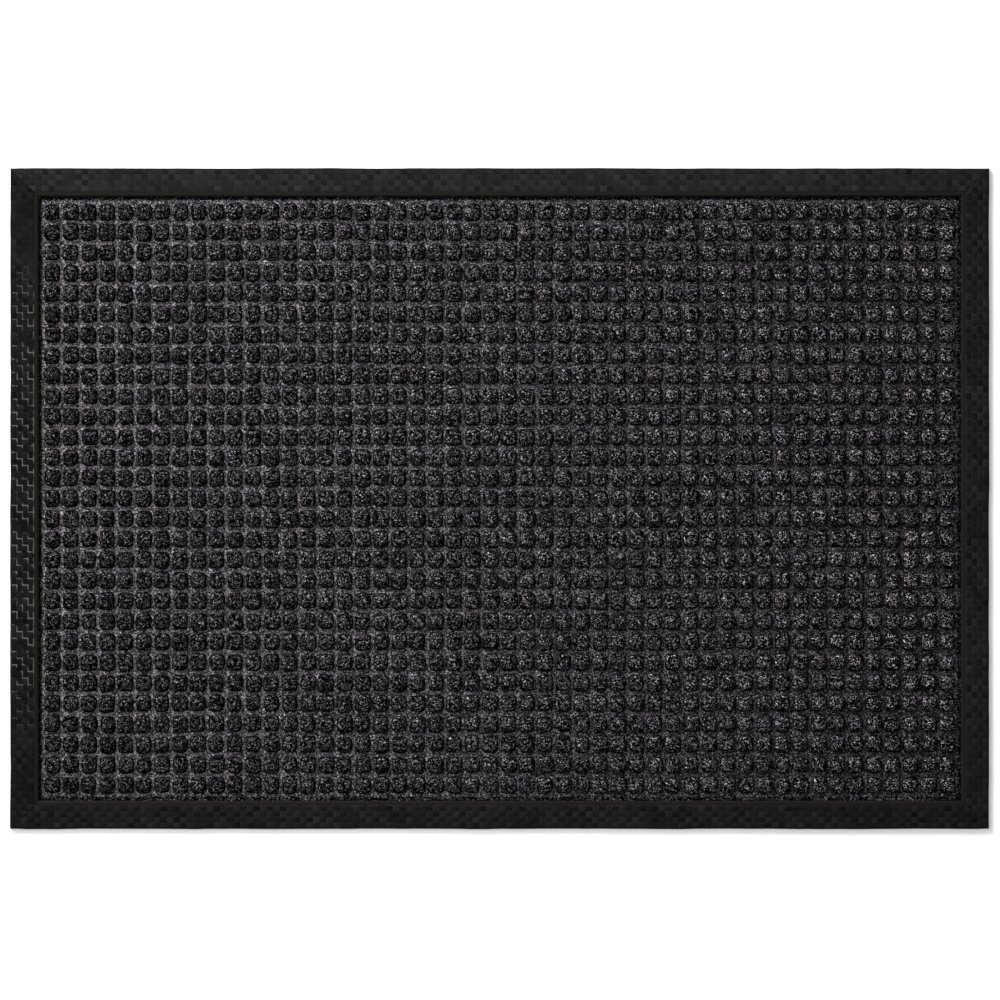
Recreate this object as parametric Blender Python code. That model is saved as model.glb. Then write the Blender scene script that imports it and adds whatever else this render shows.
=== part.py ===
"""Door mat: a rubber base sheet, a waffle carpet face and four mitred rubber border strips.

Metres, +Z up. The origin is the middle of the underside. +X runs along the long side and
-Y is the front. The layers are bonded on the real mat, and a thin bond line parts them here.
"""

from math import cos, floor, pi, sin, sqrt

import bmesh
import bpy
from mathutils import Matrix, Vector

# Footprint
MAT_LENGTH = 0.914
MAT_WIDTH = 0.617

# Rubber base sheet, and the bond line between it and what is bonded on top
BASE_THICKNESS = 0.0022
BOND_LINE = 0.0003

# Border strips: a level ledge beside the carpet, then a ramp down to a thin outer lip
BORDER_WIDTH = 0.0265
LEDGE_WIDTH = 0.0042
LEDGE_HEIGHT = 0.0045
LIP_HEIGHT = 0.0008
LEDGE_ROUND = 0.0008
ROUND_STEPS = 3
MITRE_GAP = 0.0003

# Carpet: a backing layer with rows and columns of raised squares, and a level margin around
CARPET_CLEARANCE = 0.0003
BACKING_THICKNESS = 0.003
SQUARE_RISE = 0.004
COLUMN_PITCH = 0.01703
ROW_PITCH = 0.0191
LEAST_MARGIN = 0.004

BASE_RUBBER = ((0.012, 0.012, 0.012), 0.75)
BORDER_RUBBER = ((0.016, 0.016, 0.015), 0.55)
CARPET_PILE = ((0.034, 0.031, 0.034), 0.95)


def principled(name, color_and_roughness):
    """A non-metallic material with the given linear colour and roughness."""
    color, roughness = color_and_roughness
    material = bpy.data.materials.new(name)
    material.use_nodes = True
    shader = material.node_tree.nodes["Principled BSDF"]
    shader.inputs["Base Color"].default_value = (*color, 1.0)
    shader.inputs["Roughness"].default_value = roughness
    shader.inputs["Metallic"].default_value = 0.0
    material.diffuse_color = (*color, 1.0)
    return material


def add_object(name, shape, material):
    """Turns a finished bmesh into a named object."""
    bmesh.ops.recalc_face_normals(shape, faces=shape.faces)
    mesh = bpy.data.meshes.new(name)
    shape.to_mesh(mesh)
    shape.free()
    mesh.materials.append(material)
    piece = bpy.data.objects.new(name, mesh)
    bpy.context.scene.collection.objects.link(piece)
    return piece


def make_base():
    """The full-size rubber sheet that everything else is bonded to."""
    shape = bmesh.new()
    size = Matrix.Diagonal((MAT_LENGTH, MAT_WIDTH, BASE_THICKNESS, 1.0))
    bmesh.ops.create_cube(shape, size=1.0, matrix=size)
    base = add_object("rubber_base", shape, principled("base_rubber", BASE_RUBBER))
    base.location.z = BASE_THICKNESS / 2
    return base


def squares_along(length, pitch):
    """How many whole squares fit along a side between the two margins."""
    return max(1, floor((length - 2 * LEAST_MARGIN) / pitch))


def make_carpet():
    """One piece of carpet: the raised squares are low four-sided crowns between V-shaped grooves."""
    length = MAT_LENGTH - 2 * (BORDER_WIDTH + CARPET_CLEARANCE)
    width = MAT_WIDTH - 2 * (BORDER_WIDTH + CARPET_CLEARANCE)
    columns = squares_along(length, COLUMN_PITCH)
    rows = squares_along(width, ROW_PITCH)
    field = Vector((columns * COLUMN_PITCH, rows * ROW_PITCH))

    shape = bmesh.new()
    bmesh.ops.create_grid(shape, x_segments=columns, y_segments=rows, size=0.5)
    for point in shape.verts:
        point.co = (point.co.x * field.x, point.co.y * field.y, BACKING_THICKNESS)
    squares = list(shape.faces)
    rim = [edge for edge in shape.edges if edge.is_boundary]

    # The margin runs out level from the outer squares, and the cut sides run down from it.
    for spread in (Vector((length / field.x, width / field.y, 1.0)), Vector((1.0, 1.0, 0.0))):
        grown = bmesh.ops.extrude_edge_only(shape, edges=rim)["geom"]
        for point in (item for item in grown if isinstance(item, bmesh.types.BMVert)):
            point.co = point.co * spread
        rim = [item for item in grown if isinstance(item, bmesh.types.BMEdge)]
    bmesh.ops.contextual_create(shape, geom=rim)

    bmesh.ops.poke(shape, faces=squares, offset=SQUARE_RISE)
    carpet = add_object("carpet_face", shape, principled("carpet_pile", CARPET_PILE))
    carpet.location.z = BASE_THICKNESS + BOND_LINE
    return carpet


def rounded_corner(before, corner, after, radius):
    """Points of an arc that rounds one corner of an outline."""
    to_before = (before - corner).normalized()
    to_after = (after - corner).normalized()
    half_angle = to_before.angle(to_after) / 2
    bisector = (to_before + to_after).normalized()
    centre = corner + bisector * (radius / sin(half_angle))
    sweep = pi / 2 - half_angle
    side = (to_after - bisector * to_after.dot(bisector)).normalized()
    points = []
    for step in range(ROUND_STEPS + 1):
        angle = sweep * (2 * step / ROUND_STEPS - 1)
        points.append(centre + (side * sin(angle) - bisector * cos(angle)) * radius)
    return points


def border_outline():
    """Cross-section of a strip: x is the distance in from the mat's edge, y the height."""
    lip_foot = Vector((0.0, 0.0))
    inner_foot = Vector((BORDER_WIDTH, 0.0))
    inner_top = Vector((BORDER_WIDTH, LEDGE_HEIGHT))
    ledge_start = Vector((BORDER_WIDTH - LEDGE_WIDTH, LEDGE_HEIGHT))
    lip_top = Vector((0.0, LIP_HEIGHT))
    round_radius = min(LEDGE_ROUND, LEDGE_HEIGHT / 2, LEDGE_WIDTH / 2)
    inner_edge = rounded_corner(inner_foot, inner_top, ledge_start, round_radius)
    return [lip_foot, inner_foot, *inner_edge, ledge_start, lip_top]


def make_border(name, run, reach, turn, material):
    """One strip along a side that is run long, its outer edge reach away from the mat's middle."""
    shape = bmesh.new()
    mitre_inset = MITRE_GAP / sqrt(2.0)
    ends = []
    for direction in (-1.0, 1.0):
        ring = []
        for point in border_outline():
            half_run = run / 2 - point.x - mitre_inset
            ring.append(shape.verts.new((direction * half_run, point.x, point.y)))
        shape.faces.new(ring)
        ends.append(ring)
    for index in range(len(ends[0])):
        before = index - 1
        shape.faces.new((ends[0][before], ends[0][index], ends[1][index], ends[1][before]))
    strip = add_object(name, shape, material)
    height = BASE_THICKNESS + BOND_LINE
    strip.location = Matrix.Rotation(turn, 3, "Z") @ Vector((0.0, -reach, height))
    strip.rotation_euler.z = turn
    return strip


def main():
    for leftover in list(bpy.data.objects):
        bpy.data.objects.remove(leftover)
    make_base()
    make_carpet()
    border_rubber = principled("border_rubber", BORDER_RUBBER)
    sides = (
        ("border_front", MAT_LENGTH, MAT_WIDTH / 2),
        ("border_right", MAT_WIDTH, MAT_LENGTH / 2),
        ("border_back", MAT_LENGTH, MAT_WIDTH / 2),
        ("border_left", MAT_WIDTH, MAT_LENGTH / 2),
    )
    for quarter, (name, run, reach) in enumerate(sides):
        make_border(name, run, reach, quarter * pi / 2, border_rubber)


main()
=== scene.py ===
from math import cos, pi, radians, sin, sqrt

import bmesh
import bpy
import numpy as np
from mathutils import Matrix, Vector
from mathutils.bvhtree import BVHTree


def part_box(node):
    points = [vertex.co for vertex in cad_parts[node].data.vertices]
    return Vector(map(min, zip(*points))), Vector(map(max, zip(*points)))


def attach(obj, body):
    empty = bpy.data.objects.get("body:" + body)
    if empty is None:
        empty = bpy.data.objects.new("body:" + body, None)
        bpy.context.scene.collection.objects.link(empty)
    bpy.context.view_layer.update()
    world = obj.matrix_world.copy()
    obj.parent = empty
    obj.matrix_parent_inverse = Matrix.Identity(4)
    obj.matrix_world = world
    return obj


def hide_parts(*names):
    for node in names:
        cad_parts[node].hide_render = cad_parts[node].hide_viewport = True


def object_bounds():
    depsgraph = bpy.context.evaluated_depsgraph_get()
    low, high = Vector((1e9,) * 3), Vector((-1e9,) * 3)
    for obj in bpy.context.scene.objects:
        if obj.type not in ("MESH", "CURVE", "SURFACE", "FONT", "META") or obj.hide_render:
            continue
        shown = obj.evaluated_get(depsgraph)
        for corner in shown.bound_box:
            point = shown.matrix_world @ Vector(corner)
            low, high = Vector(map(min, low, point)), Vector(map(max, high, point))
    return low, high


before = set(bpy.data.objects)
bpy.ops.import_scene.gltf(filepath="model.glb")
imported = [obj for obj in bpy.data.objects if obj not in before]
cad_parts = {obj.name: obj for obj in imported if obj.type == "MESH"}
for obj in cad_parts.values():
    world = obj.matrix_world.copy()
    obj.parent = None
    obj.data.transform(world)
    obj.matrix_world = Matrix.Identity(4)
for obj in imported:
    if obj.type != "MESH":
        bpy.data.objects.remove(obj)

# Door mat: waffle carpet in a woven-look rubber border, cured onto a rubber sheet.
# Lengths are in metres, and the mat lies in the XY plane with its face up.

cadBox = [list(corner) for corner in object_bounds()]
matLow, matHigh = (Vector(corner) for corner in cadBox)
matSize = matHigh - matLow
matCentre = (matLow + matHigh) / 2
print("frame loaded: mat", [round(side * 1000, 1) for side in matSize], "mm")


def softNoise(x, y, size, seed):
    # smooth random values from -1 to 1 that change over about size metres
    x = np.asarray(x, float) / size
    y = np.asarray(y, float) / size
    left, low = np.floor(x).astype(int), np.floor(y).astype(int)
    across, along = x - left, y - low
    left, low = left - left.min(), low - low.min()
    values = np.random.default_rng(seed).uniform(-1, 1, (left.max() + 2, low.max() + 2))
    across = across * across * (3 - 2 * across)
    along = along * along * (3 - 2 * along)
    nearLow = values[left, low] * (1 - across) + values[left + 1, low] * across
    nearHigh = values[left, low + 1] * (1 - across) + values[left + 1, low + 1] * across
    return nearLow * (1 - along) + nearHigh * along


def rise(value, start, end):
    # 0 before start, 1 after end, smooth between
    share = np.clip((np.asarray(value, float) - start) / (end - start), 0, 1)
    return share * share * (3 - 2 * share)


def outerRim(index):
    # the outer points of a grid of points, once round it
    return np.concatenate([index[:, 0], index[-1, 1:], index[-2::-1, -1], index[0, -2:0:-1]])


def placePiece(name, mesh):
    piece = bpy.data.objects.new(name, mesh)
    bpy.context.scene.collection.objects.link(piece)
    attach(piece, "root")
    return piece


def makePiece(name, points, faces, materials, sharpAngle=None, slots=None):
    mesh = bpy.data.meshes.new(name)
    mesh.from_pydata(points, [], faces)
    mesh.update()
    for material in materials:
        mesh.materials.append(material)
    if slots is not None:
        mesh.polygons.foreach_set("material_index", np.asarray(slots, np.int32))
    mesh.shade_smooth()
    if sharpAngle:
        mesh.set_sharp_from_angle(angle=radians(sharpAngle))
    return placePiece(name, mesh)


def planMap(piece, corner, wide):
    # a flat map for baking: faces that look up below, and the underside above them at half size
    underSize, underRaise = 0.48, 0.68
    mesh = piece.data
    points = np.empty(len(mesh.vertices) * 3, np.float32)
    mesh.vertices.foreach_get("co", points)
    ends = np.empty(len(mesh.loops), np.int32)
    mesh.loops.foreach_get("vertex_index", ends)
    normals = np.empty(len(mesh.polygons) * 3, np.float32)
    mesh.polygons.foreach_get("normal", normals)
    sides = np.empty(len(mesh.polygons), np.int32)
    mesh.polygons.foreach_get("loop_total", sides)
    under = np.repeat(normals.reshape(-1, 3)[:, 2] < -0.5, sides)[:, None]
    flat = (points.reshape(-1, 3)[ends][:, :2] - [corner.x, corner.y]) / wide
    flat = np.where(under, flat * underSize + [0.0, underRaise], flat)
    layer = mesh.uv_layers.new(name="OFBake")
    layer.data.foreach_set("uv", np.ascontiguousarray(flat, np.float32).ravel())


def storePointValue(piece, name, values):
    layer = piece.data.attributes.new(name, "FLOAT", "POINT")
    layer.data.foreach_set("value", np.asarray(values, np.float32))


class Nodes:
    # short calls for building a material's node tree
    def __init__(self, name):
        self.material = bpy.data.materials.new(name)
        self.material.use_nodes = True
        self.tree = self.material.node_tree
        self.shader = self.tree.nodes["Principled BSDF"]

    def plug(self, source, socket):
        if isinstance(source, bpy.types.NodeSocket):
            self.tree.links.new(source, socket)
        else:
            socket.default_value = source

    def shade(self, sockets):
        for name, source in sockets.items():
            self.plug(source, self.shader.inputs[name])

    def add(self, kind, inputs, output=0, **settings):
        node = self.tree.nodes.new(kind)
        for key, value in settings.items():
            setattr(node, key, value)
        for key, value in inputs.items():
            self.plug(value, node.inputs[key])
        return node.outputs[output]

    def place(self):
        return self.add("ShaderNodeTexCoord", {}, "Object")

    def stored(self, name):
        return self.add("ShaderNodeAttribute", {}, "Fac", attribute_name=name)

    def times(self, first, second):
        return self.add("ShaderNodeMath", {0: first, 1: second}, operation="MULTIPLY")

    def noise(self, place, scale, detail=2.0, roughness=0.5, distortion=0.0):
        inputs = {"Vector": place, "Scale": scale, "Detail": detail}
        inputs.update({"Roughness": roughness, "Distortion": distortion})
        return self.add("ShaderNodeTexNoise", inputs, "Fac")

    def ramp(self, value, stops):
        # stops: (place from 0 to 1, grey or colour)
        node = self.tree.nodes.new("ShaderNodeValToRGB")
        while len(node.color_ramp.elements) < len(stops):
            node.color_ramp.elements.new(0.5)
        for element, (place, tone) in zip(node.color_ramp.elements, stops):
            element.position = place
            element.color = (*tone, 1.0) if hasattr(tone, "__len__") else (tone, tone, tone, 1.0)
        self.plug(value, node.inputs["Fac"])
        return node.outputs["Color"]

    def spread(self, value, low, high, newLow=0.0, newHigh=1.0):
        inputs = {"Value": value, "From Min": low, "From Max": high}
        inputs.update({"To Min": newLow, "To Max": newHigh})
        return self.add("ShaderNodeMapRange", inputs, interpolation_type="SMOOTHSTEP")

    def mix(self, share, first, second, blend="MIX"):
        # 6, 7 and output 2 are the colour sockets of this node
        inputs = {0: share, 6: first, 7: second}
        return self.add("ShaderNodeMix", inputs, 2, data_type="RGBA", blend_type=blend)

    def bump(self, height, strength, distance, under=None):
        inputs = {"Height": height, "Strength": strength, "Distance": distance}
        if under:
            inputs["Normal"] = under
        return self.add("ShaderNodeBump", inputs)


# Carpet
carpetFace = {
    "columns": 50,
    "rows": 29,
    "columnPitch": 0.01703,
    "rowPitch": 0.0191,
    "squareSize": (0.0146, 0.0156),
    "squareRise": 0.0040,
    "crownShare": 1.02,  # height of a square's middle, as a share of its rise
    "backing": 0.003,
    "cornerPower": (3.0, 4.6),  # 2 is an oval and large numbers are sharp squares
    # points, share of the square's size, share of its rise
    "rings": ((20, 1.025, 0.0), (20, 0.965, 0.45), (16, 0.84, 0.80), (8, 0.5, 0.97)),
    # how much the squares differ from each other
    "sizeSpread": 0.035,
    "placeSpread": 0.0003,
    "riseSpread": 0.06,
    "toneSpread": 0.07,
    "tilt": 0.0002,
    "mostSpread": 2.2,  # the furthest that any square is from the middle, in spreads
    # unevenness: how much, and over what length
    "rowSway": 0.0006,
    "swayLength": (0.09, 0.11),
    "swayFade": 0.06,
    "lumps": 0.00028,
    "lumpLength": (0.0021, 0.0024),
    "grooveWave": (0.0001, 0.02),
    "marginWave": (0.00015, 0.012),
    # painted light and shade: standing pile is painted paler towards the right end, and pressed pile darker
    # there
    "standingPaintedLight": 0.42,
    "pressedPaintedLight": -0.42,
    "rightFrontPaintedShade": 0.6,  # painted shade: how much darker a square's right and front sides are painted
    # share of the way out to the cut edge, depth below the grooves, tone (painted shade)
    "margin": ((0.25, 0.0001, 0.42), (0.5, 0.0013, 0.18), (1.0, 0.0024, 0.12), (1.0, 0.003, 0.12)),
    # per side: how deep the margin dips, and how strong its painted shade is
    "marginDipAndShade": {"left": 1.0, "back": 0.8, "right": 0.45, "front": 0.2},
    # painted shade on the grooves' outer crossings next to the margin
    "rimPaintedShade": 0.4,
    "sharpAngle": 62,
    "seed": 11,
}

heatherYarn = {
    "curlScale": 860.0,
    "tuftScale": 680.0,
    "fineScale": 2200.0,
    "sheen": 0.003,
    "paintedFootShade": 0.06,  # painted shade: tone at the foot of a square's sides
    "warmthScale": 45.0,
    "warmth": ((0.35, (1.02, 0.91, 1.05)), (0.65, (1.06, 0.96, 1.0))),
    "standing": {
        "tone": 0.182,
        "curlTones": ((0.465, 0.0), (0.52, 0.01), (0.555, 0.2), (0.60, 1.0)),
        "tufts": (1.8, 2.85),  # power and strength: how few of the tufts are pale, and how pale
        "gloss": 0.0,
        "rough": (1.0, 0.9),
        "relief": 0.0011,
    },
    "pressed": {
        "tone": 0.36,
        "curlTones": ((0.40, 0.05), (0.50, 0.13), (0.55, 0.3), (0.60, 0.72)),
        "tufts": (1.15, 2.1),
        "gloss": 0.1,
        "rough": (0.6, 0.3),
        "relief": 0.0014,
        # painted shade: to the right, more of the dark between the yarns is painted in
        "paintedShadeTones": ((0.46, 0.0), (0.52, 0.03), (0.555, 0.45), (0.60, 1.0)),
        "paintedShadeFrom": (1.4, 0.9),  # values of squareTone, whose painted light falls from left to right
        "paintedShadeMost": 0.6,
    },
}


def heatherPile(kind):
    y = heatherYarn
    k = y[kind]
    n = Nodes(kind + "Pile")
    place = n.place()
    # curled yarn ends, light and dark, and tufts that differ in tone
    curls = n.noise(place, y["curlScale"], 2.0, 0.7, 0.3)
    curlTone = n.ramp(curls, k["curlTones"])
    squareTone = n.stored("squareTone")
    if kind == "pressed":
        # painted shade: the grooves' yarn is painted darker towards the right
        groovePaintedShade = n.spread(squareTone, *k["paintedShadeFrom"], 0.0, k["paintedShadeMost"])
        curlTone = n.mix(groovePaintedShade, curlTone, n.ramp(curls, k["paintedShadeTones"]))
    else:
        # painted shade: the sides of a square are painted darker towards their foot
        paintedFootShade = n.spread(n.stored("pileHeight"), 0.25, 1.0, y["paintedFootShade"], 1.0)
        squareTone = n.times(squareTone, paintedFootShade)
    tufts = n.add("ShaderNodeTexVoronoi", {"Vector": place, "Scale": y["tuftScale"]}, "Color")
    tuftValue = n.add("ShaderNodeSeparateColor", {"Color": tufts}, "Red")
    power, strength = k["tufts"]
    paleTufts = n.add("ShaderNodeMath", {0: tuftValue, 1: power}, operation="POWER")
    color = n.mix(1.0, curlTone, n.times(paleTufts, strength), "MULTIPLY")
    color = n.mix(1.0, color, squareTone, "MULTIPLY")
    warmth = n.ramp(n.noise(place, y["warmthScale"]), y["warmth"])
    color = n.mix(1.0, color, warmth, "MULTIPLY")
    color = n.mix(1.0, color, (k["tone"], k["tone"], k["tone"], 1.0), "MULTIPLY")
    relief = n.bump(curls, 1.0, k["relief"])
    n.shade({
        "Base Color": color,
        "Roughness": n.spread(curls, 0.4, 0.6, *k["rough"]),
        "Normal": n.bump(n.noise(place, y["fineScale"], 2.0, 0.6), 0.4, 0.0002, relief),
        "Sheen Weight": y["sheen"],
        "Sheen Roughness": 0.5,
        "Specular IOR Level": k["gloss"],
    })
    return n.material


def ringAngles(count):
    # angles in degrees from -45 on, closer together at the four rounded corners
    perQuarter = count // 4
    angles = []
    for quarter in range(4):
        for step in range(perQuarter):
            share = 2 * step / perQuarter - 1
            bent = abs(share) ** 1.2 * (1 if share > 0 else -1)
            angles.append((45 + 45 * bent + 90 * quarter + 45) % 360 - 45)
    return sorted(angles)


def joinRings(outer, outerAngles, inner, innerAngles):
    # triangles between two rings that need not have the same number of points
    faces = []
    i = j = 0
    while i < len(outer) or j < len(inner):
        nextOuter = outerAngles[i + 1] if i + 1 < len(outer) else outerAngles[0] + 360
        nextInner = innerAngles[j + 1] if j + 1 < len(inner) else innerAngles[0] + 360
        fromOuter, fromInner = outer[i % len(outer)], inner[j % len(inner)]
        if j == len(inner) or (i < len(outer) and nextOuter <= nextInner):
            faces.append((fromOuter, outer[(i + 1) % len(outer)], fromInner))
            i += 1
        else:
            faces.append((fromInner, fromOuter, inner[(j + 1) % len(inner)]))
            j += 1
    return faces


def squareTemplate(rings):
    # the triangles of one square: 0 to 3 are its cell's corners, the rings follow
    outer, outerAngles = [0, 1, 2, 3], [-45, 45, 135, 225]
    faces, angles, first = [], [], 4
    for count, _, _ in rings:
        inner, innerAngles = list(range(first, first + count)), ringAngles(count)
        faces += joinRings(outer, outerAngles, inner, innerAngles)
        angles.append(np.radians(innerAngles))
        outer, outerAngles, first = inner, innerAngles, first + count
    for index in range(len(outer)):
        faces.append((outer[index], outer[(index + 1) % len(outer)], first))
    return np.array(faces), angles


def planGrid(columns, rows):
    # a grid at the squares' pitch, centred on the mat
    return np.meshgrid(
        (np.arange(columns) - (columns - 1) / 2) * carpetFace["columnPitch"],
        (np.arange(rows) - (rows - 1) / 2) * carpetFace["rowPitch"],
        indexing="ij",
    )


def swayed(x, y, size):
    # the moulded rows and columns are never quite straight
    c = carpetFace
    fade = c["swayFade"]
    sway = rise(size.x / 2 - np.abs(x), 0, fade) * rise(size.y / 2 - np.abs(y), 0, fade) * c["rowSway"]
    moveX = softNoise(x + 1, y + 1, c["swayLength"][0], 21) * sway
    moveY = softNoise(x + 1, y + 1, c["swayLength"][1], 22) * sway
    return x + moveX, y + moveY


def shapeSquares(size, angleSets):
    # the points of every square at once: one row of the arrays for each square
    c = carpetFace
    random = np.random.default_rng(c["seed"])
    cellX, cellY = planGrid(c["columns"], c["rows"])
    cells = cellX.size

    def around(spread):
        most = c["mostSpread"] * spread
        return random.normal(0, spread, cells).clip(-most, most)[:, None]

    middleX = cellX.reshape(-1, 1) + around(c["placeSpread"])
    middleY = cellY.reshape(-1, 1) + around(c["placeSpread"])
    halfX = c["squareSize"][0] / 2 * (1 + around(c["sizeSpread"]))
    halfY = c["squareSize"][1] / 2 * (1 + around(c["sizeSpread"]))
    power = random.uniform(*c["cornerPower"], (cells, 1))
    squareRise = c["squareRise"] * (1 + around(c["riseSpread"]))
    tiltX, tiltY = around(c["tilt"]), around(c["tilt"])
    # each square's own tone, times a painted light that is paler towards the right
    tone = (1 + around(c["toneSpread"])) * (1 + c["standingPaintedLight"] * middleX / size.x * 2)
    rings = []
    for (count, share, lift), angles in zip(c["rings"], angleSets):
        alongX, alongY = np.cos(angles)[None, :], np.sin(angles)[None, :]
        reach = share / (np.abs(alongX) ** power + np.abs(alongY) ** power) ** (1 / power)
        ringX, ringY = middleX + halfX * reach * alongX, middleY + halfY * reach * alongY
        height = (squareRise + tiltX * reach * alongX + tiltY * reach * alongY) * lift
        # painted shade on each square's right and front sides
        rightFrontShare = np.clip(np.maximum(alongX, -alongY), 0, 1) * 4 * lift * (1 - lift)
        ringTone = tone * (1 - c["rightFrontPaintedShade"] * rightFrontShare)
        rings.append((ringX, ringY, height, np.full((cells, count), lift), ringTone))
    rings.append((middleX, middleY, squareRise * c["crownShare"], np.ones((cells, 1)), tone))
    x, y, z, lift, pointTone = (np.concatenate(parts, 1).ravel() for parts in zip(*rings))
    x, y = swayed(x, y, size)
    flatLump, highLump = c["lumpLength"]
    lumpX, lumpY = (softNoise(x + 1, y + 1, flatLump, seed) * c["lumps"] for seed in (31, 32))
    x, y = x + lumpX, y + lumpY
    z = z + softNoise(x + 1, y + 1, highLump, 33) * c["lumps"] * (0.4 + 0.6 * lift)
    return np.stack([x, y, z], 1), lift, pointTone


def shapeMargin(rim, flatRim, grow, made):
    # rings of points from the outer grooves to the cut edge and down its side, with painted shade in their
    # tones
    c = carpetFace
    nearEdge = 0.001
    onSide = {
        "front": flatRim[:, 1] < flatRim[:, 1].min() + nearEdge,
        "right": flatRim[:, 0] > flatRim[:, 0].max() - nearEdge,
        "left": flatRim[:, 0] < flatRim[:, 0].min() + nearEdge,
    }
    dipAndShade = np.full(len(rim), c["marginDipAndShade"]["back"])
    for side, there in onSide.items():
        dipAndShade[there] = c["marginDipAndShade"][side]
    waveHeight, waveLength = c["marginWave"]
    points, faces, tones = [], [], []
    inner = rim
    for share, drop, tone in c["margin"]:
        place = flatRim * (1 + (grow - 1) * share)
        wave = softNoise(place[:, 0] + 1, place[:, 1] + 1, waveLength, 35) * waveHeight
        height = wave - drop * dipAndShade if drop < c["backing"] else np.full(len(rim), -drop)
        points.append(np.column_stack([place, height]))
        # painted shade, strongest on the left and back
        tones.append(1 + (tone - 1) * dipAndShade)
        outer = made + np.arange(len(rim))
        made += len(rim)
        faces += np.stack([inner, outer, np.roll(outer, -1), np.roll(inner, -1)], 1).tolist()
        inner = outer
    return points, faces, np.concatenate(tones), dipAndShade, outer


def makeCarpet():
    c = carpetFace
    low, high = (Vector(corner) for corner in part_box("carpet_face"))
    centre, size = (low + high) / 2, high - low
    template, angleSets = squareTemplate(c["rings"])
    squares, lift, squareTone = shapeSquares(size, angleSets)

    # corners of the cells, in the grooves' crossings
    gridX, gridY = planGrid(c["columns"] + 1, c["rows"] + 1)
    index = np.arange(gridX.size).reshape(gridX.shape)
    crossX, crossY = swayed(gridX.ravel(), gridY.ravel(), size)
    waveHeight, waveLength = c["grooveWave"]
    crossZ = softNoise(crossX + 1, crossY + 1, waveLength, 34) * waveHeight
    points = [np.stack([crossX, crossY, crossZ], 1), squares]
    corners = np.stack([index[1:, :-1], index[1:, 1:], index[:-1, 1:], index[:-1, :-1]], -1).reshape(-1, 4)
    own = index.size + np.arange(len(squares)).reshape(len(corners), -1)
    faces = np.concatenate([corners, own], 1)[:, template].reshape(-1, 3).tolist()
    slots = np.tile((template < 4).any(1), len(corners)).tolist()

    # the margin's first band lies pressed like the grooves, and the rest of it is cut pile
    rim = outerRim(index)
    flatRim = np.stack([gridX.ravel()[rim], gridY.ravel()[rim]], 1)
    grow = np.array([size.x / (c["columns"] * c["columnPitch"]), size.y / (c["rows"] * c["rowPitch"])])
    marginFirst = index.size + len(squares)
    rings, bands, marginPaintedShade, dipAndShade, edge = shapeMargin(rim, flatRim, grow, marginFirst)
    points += rings
    faces += bands
    slots += [1] * len(rim) + [0] * (len(bands) - len(rim))

    # underside
    under = np.empty_like(index)
    under.ravel()[rim] = edge
    inside = index[1:-1, 1:-1]
    under[1:-1, 1:-1] = edge[-1] + 1 + np.arange(inside.size).reshape(inside.shape)
    flatX, flatY = gridX[1:-1, 1:-1].ravel() * grow[0], gridY[1:-1, 1:-1].ravel() * grow[1]
    points.append(np.column_stack([flatX, flatY, np.full(inside.size, -c["backing"])]))
    quads = np.stack([under[:-1, :-1], under[:-1, 1:], under[1:, 1:], under[1:, :-1]], -1)
    faces += quads.reshape(-1, 4).tolist()
    slots += [1] * (len(faces) - len(slots))

    points = np.concatenate(points) + [centre.x, centre.y, low.z + c["backing"]]
    materials = [heatherPile("standing"), heatherPile("pressed")]
    carpet = makePiece("carpetFace", points, faces, materials, c["sharpAngle"], slots)
    pileHeight = np.zeros(len(points))
    pileHeight[own.ravel()] = lift
    pileHeight[marginFirst:] = 1
    storePointValue(carpet, "pileHeight", pileHeight)
    tones = np.ones(len(points))
    tones[own.ravel()] = squareTone
    pressed = np.concatenate([index.ravel(), own[:, : c["rings"][0][0]].ravel()])
    # painted light and shade: the grooves are painted paler on the left and darker on the right
    tones[pressed] = 1 + c["pressedPaintedLight"] * (points[pressed, 0] - centre.x) / size.x * 2
    # painted shade on the rim and the margin, strongest on the left and back
    tones[rim] *= 1 + (c["rimPaintedShade"] - 1) * dipAndShade
    tones[marginFirst : marginFirst + len(marginPaintedShade)] = marginPaintedShade
    storePointValue(carpet, "squareTone", tones)
    planMap(carpet, low, size.x)
    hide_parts("carpet_face")
    print("carpet:", len(corners), "squares,", len(faces), "faces")
    return carpet


# Loose fibres that stand out of the pile
pileFibres = {
    "perSquare": 7,
    "alongEdge": 1600,
    "edgeInset": (0.0004, 0.0022),
    "length": (0.0018, 0.0042),
    "thickness": (0.00012, 0.00026),
    "bend": 0.9,
    "standsOut": 0.00025,
    "arc": (-0.3, 1.0, 1.3, 0.2),  # how far out each point of a fibre is, as shares of standsOut
    "keepOff": 0.002,  # from the cut edge, for those that start on the squares
    "keepIn": 0.0003,
    "mottleScale": 1500.0,
    "paleShare": 0.45,
    "darkTones": (0.0, 0.5),
    "paleTones": (0.56, 1.0),
    "colors": ((0.0, 0.004), (0.5, 0.02), (0.56, 0.10), (1.0, 0.42)),
    "seed": 12,
}


def fibreYarn():
    n = Nodes("fibreYarn")
    tone = n.stored("fibreTone")
    mottle = n.spread(n.noise(n.place(), pileFibres["mottleScale"]), 0.3, 0.7, 0.7, 1.2)
    n.shade({
        "Base Color": n.mix(1.0, n.ramp(tone, pileFibres["colors"]), mottle, "MULTIPLY"),
        "Roughness": n.spread(tone, 0.0, 1.0, 0.55, 0.75),
    })
    return n.material


def pointsAlongRim(low, high, along, inset):
    # places at a distance along the rim, from the front left corner on, and inset from it
    wide, deep = high.x - low.x, high.y - low.y
    side = np.searchsorted([wide, wide + deep, 2 * wide + deep], along, side="right")
    backX, leftY = high.x - (along - wide - deep), high.y - (along - 2 * wide - deep)
    x = np.choose(side, [low.x + along, high.x - inset, backX, low.x + inset])
    y = np.choose(side, [low.y + inset, low.y + along - wide, high.y - inset, leftY])
    return x, y


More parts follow.
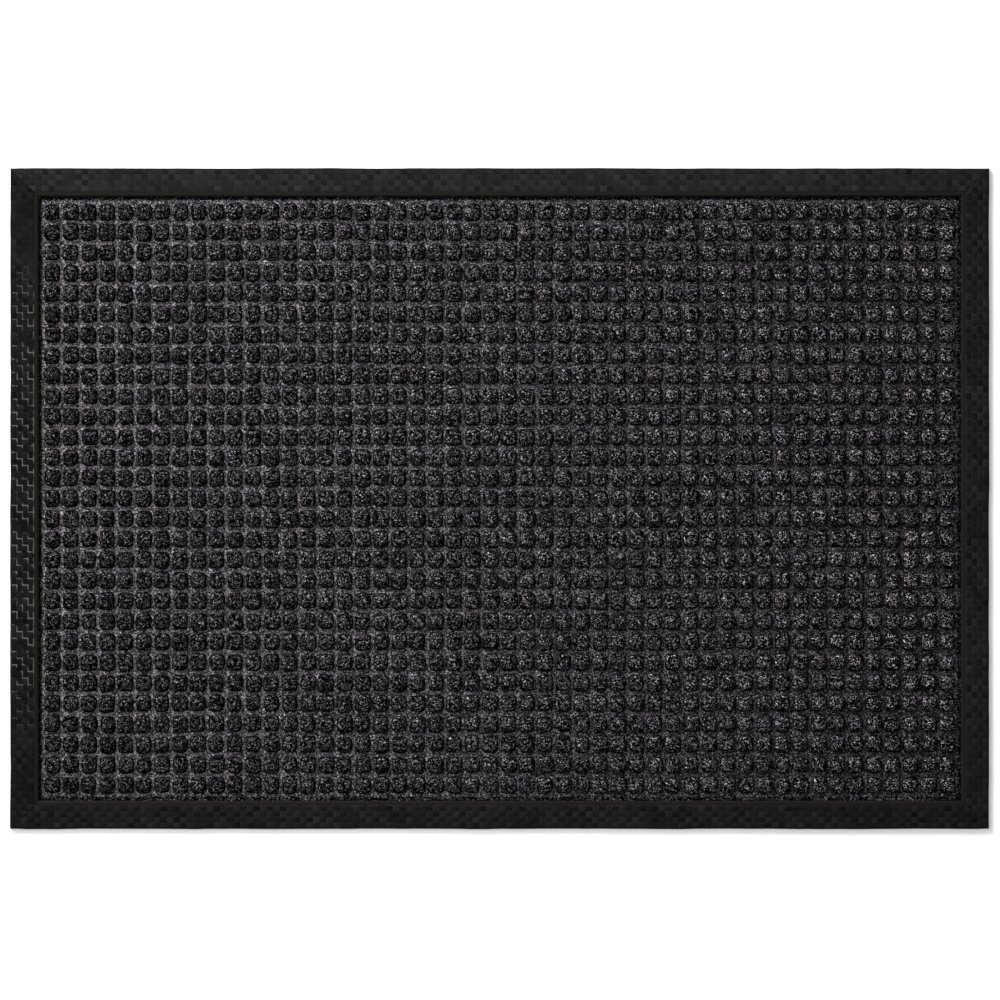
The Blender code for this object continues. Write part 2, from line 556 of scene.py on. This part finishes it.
def makeFibres(carpet):
    f = pileFibres
    random = np.random.default_rng(f["seed"])
    low, high = (Vector(corner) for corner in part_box("carpet_face"))
    surfacePoints = [vertex.co for vertex in carpet.data.vertices]
    surface = BVHTree.FromPolygons(surfacePoints, [tuple(face.vertices) for face in carpet.data.polygons])
    count, edge = f["perSquare"] * carpetFace["columns"] * carpetFace["rows"], f["alongEdge"]
    x = random.uniform(low.x + f["keepOff"], high.x - f["keepOff"], count)
    y = random.uniform(low.y + f["keepOff"], high.y - f["keepOff"], count)
    # more of them along the cut edge, where the pile frays
    along = random.uniform(0, 2 * (high.x - low.x + high.y - low.y), edge)
    edgeX, edgeY = pointsAlongRim(low, high, along, random.uniform(*f["edgeInset"], edge))
    x, y = np.concatenate([x, edgeX]), np.concatenate([y, edgeY])
    total = count + edge
    heading = random.uniform(0, 2 * pi, total)
    bend = random.normal(0, f["bend"], total)
    length = random.uniform(*f["length"], total)
    thickness = random.uniform(*f["thickness"], total)
    tone = np.where(
        random.random(total) < f["paleShare"],
        random.uniform(*f["paleTones"], total),
        random.uniform(*f["darkTones"], total),
    )

    # four points along each fibre, laid on the pile
    steps = len(f["arc"])
    paths = np.empty((total, steps, 3))
    for step in range(steps):
        paths[:, step, 0] = np.clip(x, low.x + f["keepIn"], high.x - f["keepIn"])
        paths[:, step, 1] = np.clip(y, low.y + f["keepIn"], high.y - f["keepIn"])
        x, y = x + np.cos(heading) * length / (steps - 1), y + np.sin(heading) * length / (steps - 1)
        heading = heading + bend
    down = Vector((0, 0, -1))
    for path in paths:
        for point, out in zip(path, f["arc"]):
            hit = surface.ray_cast(Vector((point[0], point[1], high.z + 0.01)), down)[0]
            point[2] = hit.z + f["standsOut"] * out

    # each fibre: a tip, two rings of three points and a tip
    forward = paths[:, 2] - paths[:, 1]
    forward /= np.linalg.norm(forward, axis=1)[:, None] + 1e-9
    side = np.cross(forward, [0, 0, 1.0])
    side /= np.linalg.norm(side, axis=1)[:, None] + 1e-9
    up = np.cross(side, forward)
    corners = [paths[:, 0]]
    for ring in (1, 2):
        for third in range(3):
            angle = 2 * pi * third / 3
            spoke = side * cos(angle) + up * sin(angle)
            corners.append(paths[:, ring] + spoke * thickness[:, None] / 2)
    corners.append(paths[:, 3])
    points = np.stack(corners, 1).reshape(-1, 3)
    one = []
    for k in range(3):
        after = (k + 1) % 3
        one += [(0, 1 + k, 1 + after), (1 + k, 4 + after, 1 + after)]
        one += [(1 + k, 4 + k, 4 + after), (4 + k, 7, 4 + after)]
    faces = (np.arange(total)[:, None, None] * 8 + np.array(one)[None]).reshape(-1, 3)
    fibres = makePiece("pileFibres", points, faces.tolist(), [fibreYarn()])
    storePointValue(fibres, "fibreTone", np.repeat(tone, 8))
    planMap(fibres, low, high.x - low.x)
    print("fibres:", total)
    return fibres


# Border strips
borderStrip = {
    "cellLength": 0.0062,
    "cellWidth": 0.0053,
    "cellsAcross": 4,
    "strands": 3,
    "rimWidth": 0.0011,
    "ledgeWidth": 0.0042,
    "ledgeSteps": 7,
    "ledgeHeight": 0.0045,
    "ledgeRound": (0.0007, 0.001),  # depth and width of its rounded inner edge
    "lipHeight": 0.0008,
    "lipRound": (0.0003, 0.0006),
    "lipSteps": (0.0, 0.0003, 0.0007),
    "weaveDepth": 0.0007,
    "weaveDepthShare": {"left": 0.7, "right": 0.8, "front": 0.7, "back": 0.55},
    "strandDepth": 0.00022,
    "edgeWave": 0.0005,
    "edgeWaveLength": (0.045, 0.013),
    "edgeWaveReach": 0.012,
    "mitreGap": 0.0003,
    "cellTones": (0.64, 1.36),
    # cells that lie across are painted paler: a painted highlight
    "turnedHighlight": 1.6,
    # painted shade and light: the left strip is painted darker and the right one paler
    "stripPaintedShade": {"left": 0.48, "right": 1.1, "front": 1.0, "back": 1.0},
    # pale seams: dust, and a painted highlight that is strongest on the left strip
    "seamDustAndHighlight": {"left": 1.0, "right": 0.12, "front": 0.1, "back": 0.06},
    "seamHighlightReach": 0.62,  # share of the strip's length, about its middle, that the painted highlight covers
    "sharpAngle": 50,
    "mapRows": 8,
    "seed": 13,
}

blackRubber = {
    "color": ((0.3, (0.0068, 0.0071, 0.0066)), (0.7, (0.0095, 0.0095, 0.0087))),
    "looseDust": (0.022, 0.020, 0.016, 1.0),
    # colour of the pale seams: dust and a painted highlight
    "seamDustAndHighlight": (0.11, 0.11, 0.095, 1.0),
    "rubbed": (0.014, 0.014, 0.012, 1.0),
    "ledge": (0.013, 0.0115, 0.0095, 1.0),
    "gloss": 0.02,
    "rough": (0.5, 0.68),
}

frontLow, frontHigh = (Vector(corner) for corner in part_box("border_front"))
borderWidth = frontHigh.y - frontLow.y


def wovenRubber():
    r = blackRubber
    n = Nodes("wovenRubber")
    place = n.place()
    high, low = n.stored("weaveHeight"), n.add("ShaderNodeMath", {0: 1.0}, operation="SUBTRACT")
    n.plug(high, low.node.inputs[1])
    # each cell of the weave has its own tone, and the cells that lie across are painted paler, a painted
    # highlight
    color = n.ramp(n.noise(place, 18.0, 3.0, 0.6), r["color"])
    color = n.mix(1.0, color, n.stored("cellTone"), "MULTIPLY")
    # loose dust low in the weave, pale seams that are dust and a painted highlight, and rubbed strands
    dust = n.spread(n.noise(place, 900.0, 3.0, 0.65), 0.52, 0.74, 0.0, 0.35)
    color = n.mix(n.times(dust, low), color, r["looseDust"])
    seam = n.times(n.spread(low, 0.45, 0.95), n.stored("seamDustAndHighlight"))
    patchy = n.spread(n.noise(place, 120.0, 2.0), 0.38, 0.6)
    color = n.mix(n.times(seam, patchy), color, r["seamDustAndHighlight"])
    rubbed = n.times(high, n.spread(n.noise(place, 60.0), 0.4, 0.7, 0.0, 0.35))
    color = n.mix(rubbed, color, r["rubbed"])
    color = n.mix(n.times(n.stored("ledge"), 0.7), color, r["ledge"])
    n.shade({
        "Base Color": color,
        "Roughness": n.spread(n.noise(place, 300.0, 3.0), 0.3, 0.7, *r["rough"]),
        "Normal": n.bump(n.noise(place, 2200.0, 3.0, 0.6), 0.3, 0.00012),
        "Specular IOR Level": r["gloss"],
    })
    return n.material


def stripHeight(inset, run, depthShare):
    # height of a strip above its underside, how high the weave stands there (0 to 1),
    # the tone of the cell, and how far the place belongs to the smooth ledge
    b = borderStrip
    slope = np.clip(inset / (borderWidth - b["ledgeWidth"]), 0, 1)
    height = b["lipHeight"] + (b["ledgeHeight"] - b["lipHeight"]) * slope
    height = height - b["lipRound"][0] * (1 - rise(inset, 0, b["lipRound"][1]))
    height = height - b["ledgeRound"][0] * rise(inset, borderWidth - b["ledgeRound"][1], borderWidth)
    across = (inset - b["rimWidth"]) / b["cellWidth"]
    along = run / b["cellLength"]
    edge = 0.15
    woven = rise(across, 0, edge) * (1 - rise(across, b["cellsAcross"] - edge, b["cellsAcross"]))
    row, place = np.floor(across + 1e-6), np.floor(along + 1e-6)
    turned = (row + place) % 2 == 0
    shareAcross, shareAlong = across - row, along - place
    lengthwise = np.where(turned, shareAcross, shareAlong)
    sideways = np.where(turned, shareAlong, shareAcross)
    arch = np.clip(np.sin(pi * lengthwise), 0, 1) ** 0.3
    strand = np.abs(np.sin(b["strands"] * pi * sideways))
    stand = arch * (1 - b["strandDepth"] / b["weaveDepth"] * (1 - strand)) * woven
    random = np.random.default_rng(b["seed"])
    placeNumber = (place - place.min()).astype(int)
    tones = random.uniform(*b["cellTones"], (b["cellsAcross"] + 2, placeNumber.max() + 1))
    tone = tones[np.clip(row, -1, b["cellsAcross"]).astype(int) + 1, placeNumber]
    # painted highlight: the cells that lie across are paler
    tone = 1 + (tone * np.where(turned, 1, b["turnedHighlight"]) - 1) * woven
    ledge = rise(across, b["cellsAcross"], b["cellsAcross"] + 0.3)
    return height + b["weaveDepth"] * depthShare * stand, stand, tone, ledge


def stripPoints(side, turn, length):
    # the strip's points in rows across it, its faces, and the values that its rubber uses
    b = borderStrip
    fine = 2 * b["strands"]
    cells = int(length / 2 / b["cellLength"]) + 1
    runs = np.arange(-cells * fine, cells * fine + 1) / fine * b["cellLength"]
    weave = b["rimWidth"] + np.arange(b["cellsAcross"] * fine + 1) / fine * b["cellWidth"]
    ledge = np.linspace(weave[-1], borderWidth, b["ledgeSteps"] + 1)[1:]
    run, inset = np.meshgrid(runs, np.concatenate([b["lipSteps"], weave, ledge]), indexing="ij")
    height, stand, tone, onLedge = stripHeight(inset, run, b["weaveDepthShare"][side])
    # painted highlight and dust in the seams, fading towards the strip's ends
    highlightSpan = b["seamHighlightReach"] * length / 2
    onWeave = (inset > b["rimWidth"]) & (inset < weave[-1] + 0.0001)
    dust = onWeave * b["seamDustAndHighlight"][side] * (1 - rise(np.abs(run), highlightSpan * 0.75, highlightSpan * 1.25))
    values = {
        "weaveHeight": stand,
        # each cell's own tone, with the strip's painted shade and light
        "cellTone": tone * b["stripPaintedShade"][side],
        "ledge": onLedge,
        "seamDustAndHighlight": dust,
    }

    # the outer edge waves a little
    phase = np.full(run.shape, turn)
    longWave, shortWave = b["edgeWaveLength"]
    wave = softNoise(run + 2, phase, longWave, 41) + 0.5 * softNoise(run + 2, phase, shortWave, 42)
    shifted = inset + (0.4 + 0.6 * wave) * b["edgeWave"] * (1 - rise(inset, 0, b["edgeWaveReach"]))
    top = np.stack([run, shifted, height], -1)
    footPoints = top[:, [0, -1], :].copy()
    footPoints[..., 2] = 0.0
    points = np.concatenate([top.reshape(-1, 3), footPoints.reshape(-1, 3)])

    count, wide = run.shape
    index = np.arange(count * wide).reshape(count, wide)
    foot = count * wide + np.arange(count * 2).reshape(count, 2)
    quads = np.stack([index[:-1, :-1], index[1:, :-1], index[1:, 1:], index[:-1, 1:]], -1)
    faces = quads.reshape(-1, 4).tolist()
    for k in range(count - 1):
        faces.append([foot[k, 0], foot[k + 1, 0], index[k + 1, 0], index[k, 0]])
        faces.append([index[k, -1], index[k + 1, -1], foot[k + 1, 1], foot[k, 1]])
        faces.append([foot[k, 1], foot[k + 1, 1], foot[k + 1, 0], foot[k, 0]])
    faces.append([foot[0, 0], *index[0], foot[0, 1]])
    faces.append([*index[-1], foot[-1, 1], foot[-1, 0]])
    return points, faces, values


def stripReach(turn):
    # from the mat's centre out to the strip's outer edge
    return matSize.y / 2 if abs(cos(turn)) > 0.5 else matSize.x / 2


def makeStrip(side, turn, length, material):
    b = borderStrip
    name, node = side + "Border", "border_" + side
    points, faces, values = stripPoints(side, turn, length)
    shape = bmesh.new()
    for layerName in values:
        shape.verts.layers.float.new(layerName)
    made = [shape.verts.new(point) for point in points]
    for layerName, value in values.items():
        layer = shape.verts.layers.float[layerName]
        for vertex, number in zip(made, value.ravel()):
            vertex[layer] = number
    for face in faces:
        shape.faces.new([made[k] for k in face])

    # cut both mitres
    for end in (-1, 1):
        corner = Vector((end * (length / 2 - b["mitreGap"] / sqrt(2)), 0, 0))
        everything = shape.verts[:] + shape.edges[:] + shape.faces[:]
        cut = bmesh.ops.bisect_plane(
            shape, geom=everything, plane_co=corner, plane_no=(end, 1, 0), clear_outer=True
        )
        rim = [item for item in cut["geom_cut"] if isinstance(item, bmesh.types.BMEdge)]
        bmesh.ops.contextual_create(shape, geom=rim)
    bmesh.ops.recalc_face_normals(shape, faces=shape.faces)
    mesh = bpy.data.meshes.new(name)
    shape.to_mesh(mesh)
    shape.free()
    mesh.materials.append(material)
    mesh.shade_smooth()
    mesh.set_sharp_from_angle(angle=radians(b["sharpAngle"]))

    # to its side of the mat
    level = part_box(node)[0][2]
    place = Matrix.Translation((matCentre.x, matCentre.y, level)) @ Matrix.Rotation(turn, 4, "Z")
    mesh.transform(place @ Matrix.Translation((0, -stripReach(turn), 0)))
    stripMap(mesh, turn, length)
    strip = placePiece(name, mesh)
    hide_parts(node)
    print(name, len(mesh.polygons), "faces")


def stripMap(mesh, turn, length):
    # a map for baking: the top is cut into lengths, which are stacked, with the underside above them
    rows = borderStrip["mapRows"]
    margin, wide, reach = 0.02, length / (rows - 2), stripReach(turn)
    back = Matrix.Rotation(-turn, 3, "Z")
    layer = mesh.uv_layers.new(name="OFBake")
    for face in mesh.polygons:
        middle = back @ (face.center - matCentre)
        row = min(rows - 3, max(0, int((middle.x + length / 2) / wide)))
        upward = face.normal.z > 0.3
        for loop in face.loop_indices:
            point = back @ (mesh.vertices[mesh.loops[loop].vertex_index].co - matCentre)
            v = (point.y + reach) / borderWidth
            if upward:
                u = (point.x + length / 2 - row * wide) / wide * 0.94 + margin
                v = (row + 0.06 + v * 0.86) / rows
            else:
                u = (point.x / length + 0.5) * 0.94 + margin
                v = (rows - 1.5 + v * 0.5 + point.z * 40) / rows
            layer.data[loop].uv = (u, v)


# Base sheet
baseSheet = {
    "gridStep": 0.012,
    "edgeInset": 0.0004,
    "sharpAngle": 40,
    "color": ((0.3, 0.008), (0.7, 0.014)),
    "dust": (0.05, 0.047, 0.042, 1.0),
    "clothScale": 190.0,
    "rough": (0.55, 0.8),
}


def sheetRubber():
    b = baseSheet
    n = Nodes("sheetRubber")
    place = n.place()
    dust = n.noise(place, 700.0, 3.0, 0.65)
    color = n.ramp(n.noise(place, 9.0, 3.0, 0.6), b["color"])
    # the cloth that the sheet was cured against leaves its print
    threads = {"Vector": place, "Scale": b["clothScale"]}
    cloth = n.times(
        n.add("ShaderNodeTexWave", threads, "Fac", bands_direction="X"),
        n.add("ShaderNodeTexWave", threads, "Fac", bands_direction="Y"),
    )
    n.shade({
        "Base Color": n.mix(n.spread(dust, 0.55, 0.75, 0.0, 0.3), color, b["dust"]),
        "Roughness": n.spread(dust, 0.3, 0.7, *b["rough"]),
        "Normal": n.bump(cloth, 0.6, 0.0004, n.bump(dust, 0.3, 0.0002)),
    })
    return n.material


def makeBase():
    b = baseSheet
    low, high = (Vector(corner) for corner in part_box("rubber_base"))
    size = high - low
    x, y = np.meshgrid(
        np.linspace(low.x, high.x, round(size.x / b["gridStep"]) + 1),
        np.linspace(low.y, high.y, round(size.y / b["gridStep"]) + 1),
        indexing="ij",
    )
    index = np.arange(x.size).reshape(x.shape)
    rim = outerRim(index)
    # the four cut edges stay just inside the strips above them
    x = x - np.sign(x) * np.where(np.isclose(np.abs(x - matCentre.x), size.x / 2), b["edgeInset"], 0)
    y = y - np.sign(y) * np.where(np.isclose(np.abs(y - matCentre.y), size.y / 2), b["edgeInset"], 0)
    under, over = (np.stack([x.ravel(), y.ravel(), np.full(x.size, z)], 1) for z in (low.z, high.z))
    quads = np.stack([index[:-1, :-1], index[1:, :-1], index[1:, 1:], index[:-1, 1:]], -1).reshape(-1, 4)
    sides = np.stack([rim, np.roll(rim, -1), np.roll(rim, -1) + x.size, rim + x.size], 1)
    faces = np.concatenate([quads + x.size, quads[:, ::-1], sides]).tolist()
    points = np.concatenate([under, over])
    base = makePiece("rubberBase", points, faces, [sheetRubber()], b["sharpAngle"])
    planMap(base, low, size.x)
    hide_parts("rubber_base")
    print("base:", len(faces), "faces")


# Studio
studio = {
    "lens": 200.0,
    "sensor": 36.0,
    "viewWidth": 0.9328,
    "viewCentre": (0.0003, -0.0013),
    "sharpLevel": 0.006,  # height at which the view is as wide as viewWidth
    # low soft light from the far left corner, and a nearer one above the left half
    "lights": {
        "keyLight": {"place": (-2.2, 2.85, 1.42), "size": 1.8, "power": 321.0},
        "topLight": {"place": (-0.33, 0.06, 0.9), "size": 0.3, "power": 3.2},
    },
    "floorHalf": 6.0,
    "floorGap": 0.0001,
    "paperTone": 0.9,
    "paperGlow": 0.28,
    "furthestSeen": 30.0,
    # the room is bright low down and dim overhead
    "horizonLight": 1.5,
    "ceilingLight": 0.12,
    "horizonHeight": (0.30, 0.55),
}


def makeRoom(scene):
    s = studio
    room = bpy.data.worlds.new("studioWorld")
    room.use_nodes = True
    tree = room.node_tree
    direction = tree.nodes.new("ShaderNodeTexCoord").outputs["Generated"]
    parts = tree.nodes.new("ShaderNodeSeparateXYZ")
    tree.links.new(direction, parts.inputs[0])
    strength = tree.nodes.new("ShaderNodeMapRange")
    strength.inputs["From Min"].default_value, strength.inputs["From Max"].default_value = s["horizonHeight"]
    strength.inputs["To Min"].default_value = s["horizonLight"]
    strength.inputs["To Max"].default_value = s["ceilingLight"]
    tree.links.new(parts.outputs["Z"], strength.inputs["Value"])
    tree.links.new(strength.outputs["Result"], tree.nodes["Background"].inputs["Strength"])
    tree.nodes["Background"].inputs["Color"].default_value = (1.0, 1.0, 1.0, 1.0)
    scene.world = room

    half, level = s["floorHalf"], matLow.z - s["floorGap"]
    corners = [(-half, -half, level), (half, -half, level), (half, half, level), (-half, half, level)]
    floorMesh = bpy.data.meshes.new("studioFloor")
    floorMesh.from_pydata(corners, [], [(0, 1, 2, 3)])
    n = Nodes("studioPaper")
    n.shade({
        "Base Color": (s["paperTone"], s["paperTone"], s["paperTone"], 1.0),
        "Roughness": 0.9,
        "Specular IOR Level": 0.0,
        "Emission Color": (1.0, 1.0, 1.0, 1.0),
        "Emission Strength": s["paperGlow"],
    })
    floorMesh.materials.append(n.material)
    studioFloor = bpy.data.objects.new("studioFloor", floorMesh)
    scene.collection.objects.link(studioFloor)
    print("room and floor made")


def makeLightsAndCamera(scene):
    s = studio
    for name, light in s["lights"].items():
        lamp = bpy.data.lights.new(name, "AREA")
        lamp.shape = "DISK"
        lamp.size = light["size"]
        lamp.energy = light["power"]
        fitting = bpy.data.objects.new(name, lamp)
        fitting.location = matCentre + Vector(light["place"])
        fitting.rotation_euler = (matCentre - fitting.location).to_track_quat("-Z", "Y").to_euler()
        scene.collection.objects.link(fitting)

    camera = bpy.data.cameras.new("aboveCamera")
    camera.lens = s["lens"]
    camera.sensor_width = s["sensor"]
    camera.clip_end = s["furthestSeen"]
    above = bpy.data.objects.new("aboveCamera", camera)
    distance = s["viewWidth"] * s["lens"] / s["sensor"]
    viewX, viewY = s["viewCentre"]
    above.location = (matCentre.x + viewX, matCentre.y + viewY, distance + s["sharpLevel"])
    scene.collection.objects.link(above)
    scene.camera = above
    print("lights:", len(s["lights"]), "and the camera", round(distance, 3), "m above the mat")


carpet = makeCarpet()
fibres = makeFibres(carpet)
stripRubber = wovenRubber()
for quarter, side in enumerate(("front", "right", "back", "left")):
    length = matSize.x if quarter % 2 == 0 else matSize.y
    makeStrip(side, quarter * pi / 2, length, stripRubber)
makeBase()

bpy.context.scene.view_settings.view_transform = "Standard"
makeRoom(bpy.context.scene)
makeLightsAndCamera(bpy.context.scene)
